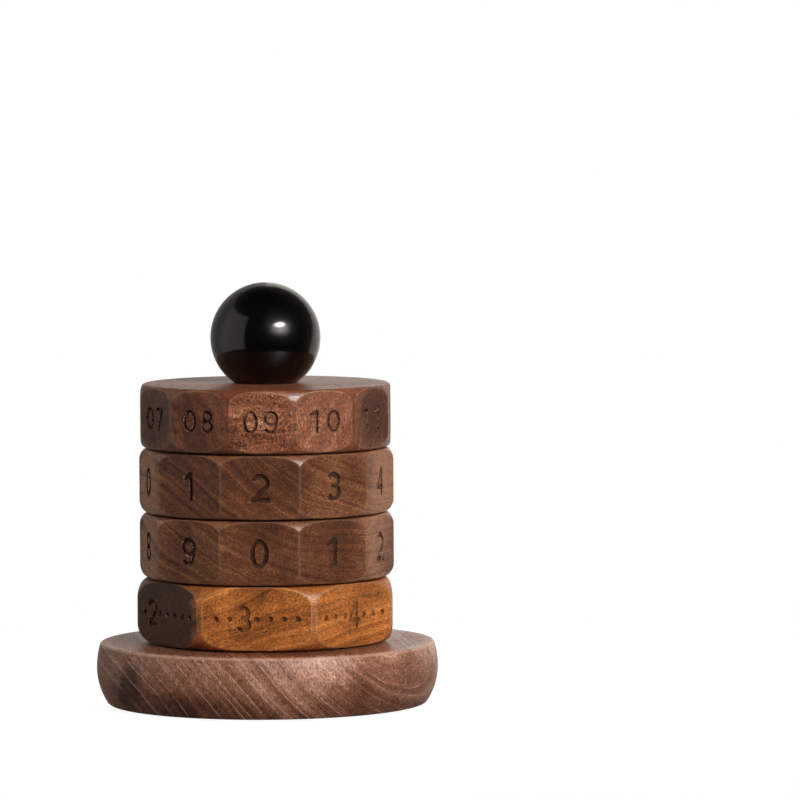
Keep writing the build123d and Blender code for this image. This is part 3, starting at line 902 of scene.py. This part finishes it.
WEEKDAY_WOOD = dict(
    WALNUT, fibre=(0.35, 1.0, 0.12), pith=(34, 0, -4), oval=1.4, seed=23.0,
    drift=12.0, waver=1.2, year=3.1, band=3.0, banding=1.0, streaking=0.4,
    streaking_across=0.15, clouding=1.0, mottling=0.2, fineness=4.4, polish=0.04,
    calm=0.3,
    # other patches are the wood's own tone
    # the two dark patches on the left facet are partly darker wood and partly painted shade; the
    shades=[((30, -18, 35), (11, 11, 4), -0.2), ((8, -34, 27), (6, 5, 5), -0.08),
            ((-9, -34, 31), (10, 10, 6), 0.18), ((-33, -14, 28), (22, 20, 30), -0.45),
            ((-27, -22, 28), (15, 15, 30), -0.5)],
    tones=tones((0.062, 0.020, 0.006), (0.335, 0.104, 0.020), (0.60, 0.225, 0.052)),
    line=(0.15, 0.05, 0.015), line_strength=0.2, pore=(0.10, 0.030, 0.008),
    pore_strength=0.4, end_grain=0.9, edge=(0.64, 0.34, 0.15), chip=(0.70, 0.42, 0.23),
    burnt=(0.045, 0.014, 0.004), scorch=0.45, turned_tint=(1.0, 0.95, 0.9))
TENS_WOOD = dict(
    WALNUT, fibre=(-0.17, 1.0, 0.0), pith=(60, 0, 170), seed=59.0, drift=9.0,
    year=1.3, band=1.5, banding=1.0, streaking=0.6, clouding=1.0, mottling=0.4,
    polish=0.06, calm=0.4, gloss=1.0,
    # paler wood too; the other patches are the wood's own tone
    # the pale patches on the leftmost and rightmost facets are painted light, the right one partly
    shades=[((38, -8, 66), (15, 14, 30), 0.45), ((-25, -30, 66), (16, 16, 24), -0.12),
            ((17, -31, 66), (8, 8, 30), 0.2), ((0, -36, 66), (13, 12, 30), -0.08),
            ((-37, -10, 66), (12, 13, 30), 0.5)],
    tones=tones((0.048, 0.012, 0.004), (0.126, 0.039, 0.013), (0.28, 0.112, 0.048)),
    line=(0.05, 0.018, 0.009), line_strength=0.5, pore=(0.026, 0.009, 0.005),
    end_grain=0.8, edge=(0.42, 0.25, 0.17), worn=0.4, chip=(0.60, 0.44, 0.32),
    # the turned tint here, shared by the units wheel, is a painted sheen lightening the turned corners
    burnt=(0.012, 0.004, 0.002), scorch=0.75, turned_tint=(1.5, 1.7, 2.1),
    roughness=0.46, specular=0.24)
UNITS_WOOD = dict(
    TENS_WOOD, fibre=(0.1, 1.0, 0.05), pith=(50, 0, 170), seed=37.0,
    # the pale patches on the leftmost and rightmost facets are painted light; the dark ones are the
    # wood's own tone
    shades=[((20, -30, 47), (14, 14, 24), -0.24), ((-4, -36, 47), (14, 10, 20), -0.18),
            ((-37, -10, 47), (12, 13, 30), 0.28), ((32, -18, 47), (12, 15, 30), 0.22)],
    tones=tones((0.050, 0.013, 0.004), (0.132, 0.043, 0.015), (0.28, 0.118, 0.054)),
    end_grain=0.9)
MONTH_WOOD = dict(
    WALNUT, fibre=(1.0, 0.08, 0.05), pith=(0, 45, 60), wide=(0, 1, 0), seed=71.0,
    drift=7.0, year=2.4, band=2.2, banding=0.6, streaking=1.2, clouding=0.6,
    mottling=0.2, speckling=0.4, grit=1.1, dash=0.9, polish=0.12, calm=0.2,
    # of the front are partly darker wood and partly painted shade, and the rest are the wood's own tone
    # the dark patch on the far left facet is painted shade, the dark ones on the facets left and right
    shades=[((-20, -31, 83), (13, 13, 14), -0.46), ((33, -18, 85), (11, 11, 12), -0.38),
            ((-4, -36, 78), (10, 5, 4), -0.2), ((17, -31, 83), (9, 9, 9), -0.12),
            ((-35, -16, 84), (12, 14, 14), -0.3)],
    tones=tones((0.075, 0.020, 0.007), (0.228, 0.080, 0.037), (0.44, 0.210, 0.128)),
    line=(0.10, 0.032, 0.013), line_strength=0.3, pore=(0.040, 0.013, 0.006),
    end_grain=0.7, edge=(0.48, 0.29, 0.18), chip=(0.60, 0.42, 0.28),
    burnt=(0.014, 0.004, 0.002), scorch=0.7, turned_tint=(0.78, 0.60, 0.50),
    specular=0.27)

DIGIT_RING = dict(facets=10, apothem=35.2, blank=37.1, edge=34.6, shoulder=4.4, rim=0.5,
                  values=range(10), marks=digit_marks, recess=False)
RINGS = {
    "month_ring": dict(
        facets=12, apothem=36.0, blank=37.1, edge=35.1, shoulder=4.4, rim=0.9, turn=-2.5,
        values=range(1, 13), front=9, marks=month_marks, recess=True, wood=MONTH_WOOD, slot="month_wood"),
    "tens_ring": dict(DIGIT_RING, turn=-3.0, front=2, wood=TENS_WOOD, slot="tens_wood"),
    "units_ring": dict(DIGIT_RING, turn=-3.6, front=0, wood=UNITS_WOOD, slot="units_wood"),
    "weekday_ring": dict(
        facets=7, apothem=34.5, blank=37.9, edge=34.0, shoulder=5.8, rim=0.9, turn=-5.0,
        values=range(1, 8), front=3, marks=weekday_marks, recess=False, wood=WEEKDAY_WOOD,
        slot="weekday_wood"),
}

for ring_name, sizes in RINGS.items():
    ring = SimpleNamespace(**sizes)
    finishes = [walnut(ring_name + "_walnut", ring.wood),
                walnut(ring_name + "_engraving", ring.wood, engraved=True)]
    make_ring(ring_name, ring, finishes)
make_base(walnut("base_walnut", BASE_WOOD))
make_ball(polished_black())
make_felt(wool_felt())

zinc = machined("bright_zinc", (0.42, 0.43, 0.45), (0.68, 0.69, 0.70), 0.30, (2, 2, 9))
aluminium = machined("turned_aluminium", (0.60, 0.60, 0.61), (0.80, 0.80, 0.81), 0.28, (0.6, 0.6, 12))
brass = machined("turned_brass", (0.55, 0.38, 0.15), (0.80, 0.60, 0.28), 0.26, (0.6, 0.6, 12))
natural = nylon("natural_nylon", (0.70, 0.67, 0.58), (0.82, 0.80, 0.74))
black = nylon("black_nylon", (0.018, 0.018, 0.019), (0.040, 0.040, 0.042))
WHEELS = ["weekday", "units", "tens", "month"]
SPINDLE_FINISHES = [
    (zinc, ["tie_rod", "rod_nut", "rod_washer"]),
    (aluminium, ["spindle_sleeve"]),
    (brass, ["knob_insert"]),
    (natural, [wheel + "_bush" for wheel in WHEELS]),
    (black, [wheel + "_thrust_washer" for wheel in WHEELS + ["knob"]]),
]
for finish, node_names in SPINDLE_FINISHES:
    for node_name in node_names:
        for material_slot in frame["nodes"][node_name].material_slots:
            material_slot.material = finish


# === Studio ======================================================
# The floor's radius is in millimetres, as it goes into a mesh; lamps and camera are placed in metres.
FLOOR_RADIUS, FLOOR_SEGMENTS = 220, 96
FLOOR_GLOW, FLOOR_GLOW_IN_GLOSS = 0.92, 0.02    # seen by the camera, and in a gloss
KEY_AIM, KEY_DISTANCE = (0, 0, 0.07), 1.5
KEY_AZIMUTH = 33                                # degrees to the right of the front
KEY = dict(elevation=29, width=1.10, height=0.42, power=18.3)
HALO = dict(elevation=22, width=2.2, height=1.5, power=9.0)    # the dimmer glow round the key
LAMP_FALLOFF = 3                                # how fast a lamp darkens from its middle to its rim
LAMP_PEAK = 8.6                                 # brightness of its middle, as a share of its mean
LAMP_TINT, PAPER = (1.0, 0.97, 0.93), (1.0, 0.95, 0.88)    # colours of lamps, and of wall and backdrop

# what a gloss shows round the object: how bright the wall on the left is, the backdrop at places from
# far left (-1) to far right (1), and the dark room beyond
WALL, ROOM = 0.80, 0.008
BACKDROP = [(-0.5, 0.20), (-0.12, 0.29), (-0.01, 0.35), (0.03, 0.94), (0.2, 0.90), (0.5, 0.70)]
FILL, ROOM_FILL, BEHIND_FILL = 0.75, 0.05, 1.5  # soft light from them, from all round and from behind


def ray_kinds(nodes):
    """Whether a ray comes from the camera, and whether it comes off a gloss or through clear material."""
    path = nodes.add("ShaderNodeLightPath").node.outputs
    return path["Is Camera Ray"], nodes.maths("MAXIMUM", path["Is Glossy Ray"], path["Is Transmission Ray"])


def make_floor():
    """A pale disc that keeps the object's shadow and runs out into the white background."""
    mesh = new_mesh("floor", *lathe([(0, 0), (FLOOR_RADIUS, 0)], FLOOR_SEGMENTS, closed=False))
    material, nodes, place = new_material("pale_floor")
    speckle = nodes.noise(place, 0.05, 3, 0.5)
    colour = nodes.ramp(speckle, (0.3, (0.17, 0.17, 0.17)), (0.7, (0.19, 0.19, 0.185)))
    camera, gloss = ray_kinds(nodes)
    glow = nodes.maths("MULTIPLY_ADD", camera, FLOOR_GLOW, nodes.times(gloss, FLOOR_GLOW_IN_GLOSS))
    nodes.dress({"Base Color": colour, "Roughness": 0.9, "Specular IOR Level": 0.1,
                 "Emission Color": (1, 1, 1), "Emission Strength": glow})
    mesh.materials.append(material)
    add_object("floor", mesh)


def make_world():
    """A pale wall on the left, a paler backdrop behind and a dark room in front; the camera sees white."""
    world = bpy.data.worlds.new("studio")
    bpy.context.scene.world = world
    world.use_nodes = True
    nodes = Nodes(world.node_tree)
    bearing = nodes.add("ShaderNodeTexCoord", "Generated")
    height = nodes.separate(bearing)["Z"]
    level = nodes.vector("NORMALIZE", nodes.vector("MULTIPLY", bearing, (1, 1, 0)))
    across, ahead, _ = nodes.separate(level)

    # the wall dims towards the backdrop, and the backdrop is cut by an arch; both end below and above
    wall = nodes.times(nodes.remap(across, -0.73, -0.70, 1.0, 0.0),
                       nodes.remap(ahead, 0.0, 0.6, WALL, BACKDROP[0][1]))
    backdrop = nodes.ramp(nodes.maths("MULTIPLY_ADD", across, 0.5, 0.5),
                          *[(0.5 + place / 2, (radiance,) * 3) for place, radiance in BACKDROP])
    arch = nodes.maths("MULTIPLY_ADD", ahead, 1.2, -0.52)
    below_arch = nodes.remap(nodes.maths("SUBTRACT", arch, height), 0.0, 0.04)
    on_left = nodes.remap(across, -0.25, -0.2, 1.0, 0.0)
    backdrop = nodes.times(backdrop, nodes.maths("MAXIMUM", below_arch, on_left),
                           nodes.remap(ahead, 0.34, 0.38))
    standing = nodes.times(nodes.remap(height, -0.36, -0.33), nodes.remap(height, 0.64, 0.70, 1.0, 0.0))
    pale = nodes.times(nodes.maths("MAXIMUM", wall, backdrop), standing)

    # which of the three lights a ray meets: what a gloss shows, soft light, or white for the camera
    behind = nodes.times(nodes.remap(ahead, -0.1, 0.5, 0.0, BEHIND_FILL), standing)
    soft = nodes.maths("MULTIPLY_ADD", pale, FILL, nodes.plus(behind, ROOM_FILL))
    camera, gloss = ray_kinds(nodes)
    light = nodes.add("ShaderNodeMix", 0, {0: gloss, 2: soft, 3: nodes.plus(pale, ROOM)})
    light = nodes.add("ShaderNodeMix", 0, {0: camera, 2: light, 3: 1.0})
    nodes.dress({"Strength": light, "Color": nodes.mix(camera, PAPER, (1, 1, 1))}, "Background")


def make_lamp(name, elevation, width, height, power):
    """An oval softbox at the key's bearing, brightest in its middle and dark at its rim."""
    lamp = bpy.data.lights.new(name, "AREA")
    lamp.shape = "ELLIPSE"
    lamp.size, lamp.size_y = width, height
    lamp.energy = power
    lamp.color = LAMP_TINT
    lamp.use_nodes = True
    nodes = Nodes(lamp.node_tree)
    spot = nodes.add("ShaderNodeNewGeometry", "Parametric")
    from_middle = nodes.vector("MULTIPLY_ADD", spot, (2, 2, 0), (-1, -1, 0))
    falloff = nodes.remap(nodes.vector("LENGTH", from_middle), 0.0, 1.0, 1.0, 0.0)
    falloff = nodes.times(nodes.maths("POWER", falloff, LAMP_FALLOFF), LAMP_PEAK)
    nodes.dress({"Strength": falloff}, "Emission")
    add_object(name, lamp).matrix_world = (Matrix.Translation(KEY_AIM)
                                           @ Matrix.Rotation(math.radians(KEY_AZIMUTH), 4, "Z")
                                           @ Matrix.Rotation(math.radians(90 - elevation), 4, "X")
                                           @ Matrix.Translation((0, 0, KEY_DISTANCE)))


CAMERA_DISTANCE, CAMERA_HEIGHT = 1.7387, 0.2009
CAMERA_PITCH, CAMERA_YAW, CAMERA_ROLL = 0.0647, 0.0224, 0.0048    # radians: down, right, anticlockwise
FOCAL_PIXELS, IMAGE_PIXELS = 6000, 800
SENSOR = 36.0                                   # millimetres


def make_camera():
    """A long lens a little above the object, aimed to its right."""
    lens = bpy.data.cameras.new("camera")
    lens.sensor_width = SENSOR
    lens.lens = FOCAL_PIXELS / IMAGE_PIXELS * SENSOR
    lens.clip_start, lens.clip_end = 0.05, 50
    camera = add_object("camera", lens)
    camera.matrix_world = (Matrix.Translation((0, -CAMERA_DISTANCE, CAMERA_HEIGHT))
                           @ Matrix.Rotation(-CAMERA_YAW, 4, "Z")
                           @ Matrix.Rotation(math.pi / 2 - CAMERA_PITCH, 4, "X")
                           @ Matrix.Rotation(-CAMERA_ROLL, 4, "Z"))
    bpy.context.scene.camera = camera


make_floor()
make_world()
make_lamp("key", **KEY)
make_lamp("halo", **HALO)
make_camera()
bpy.context.scene.view_settings.view_transform = "Standard"
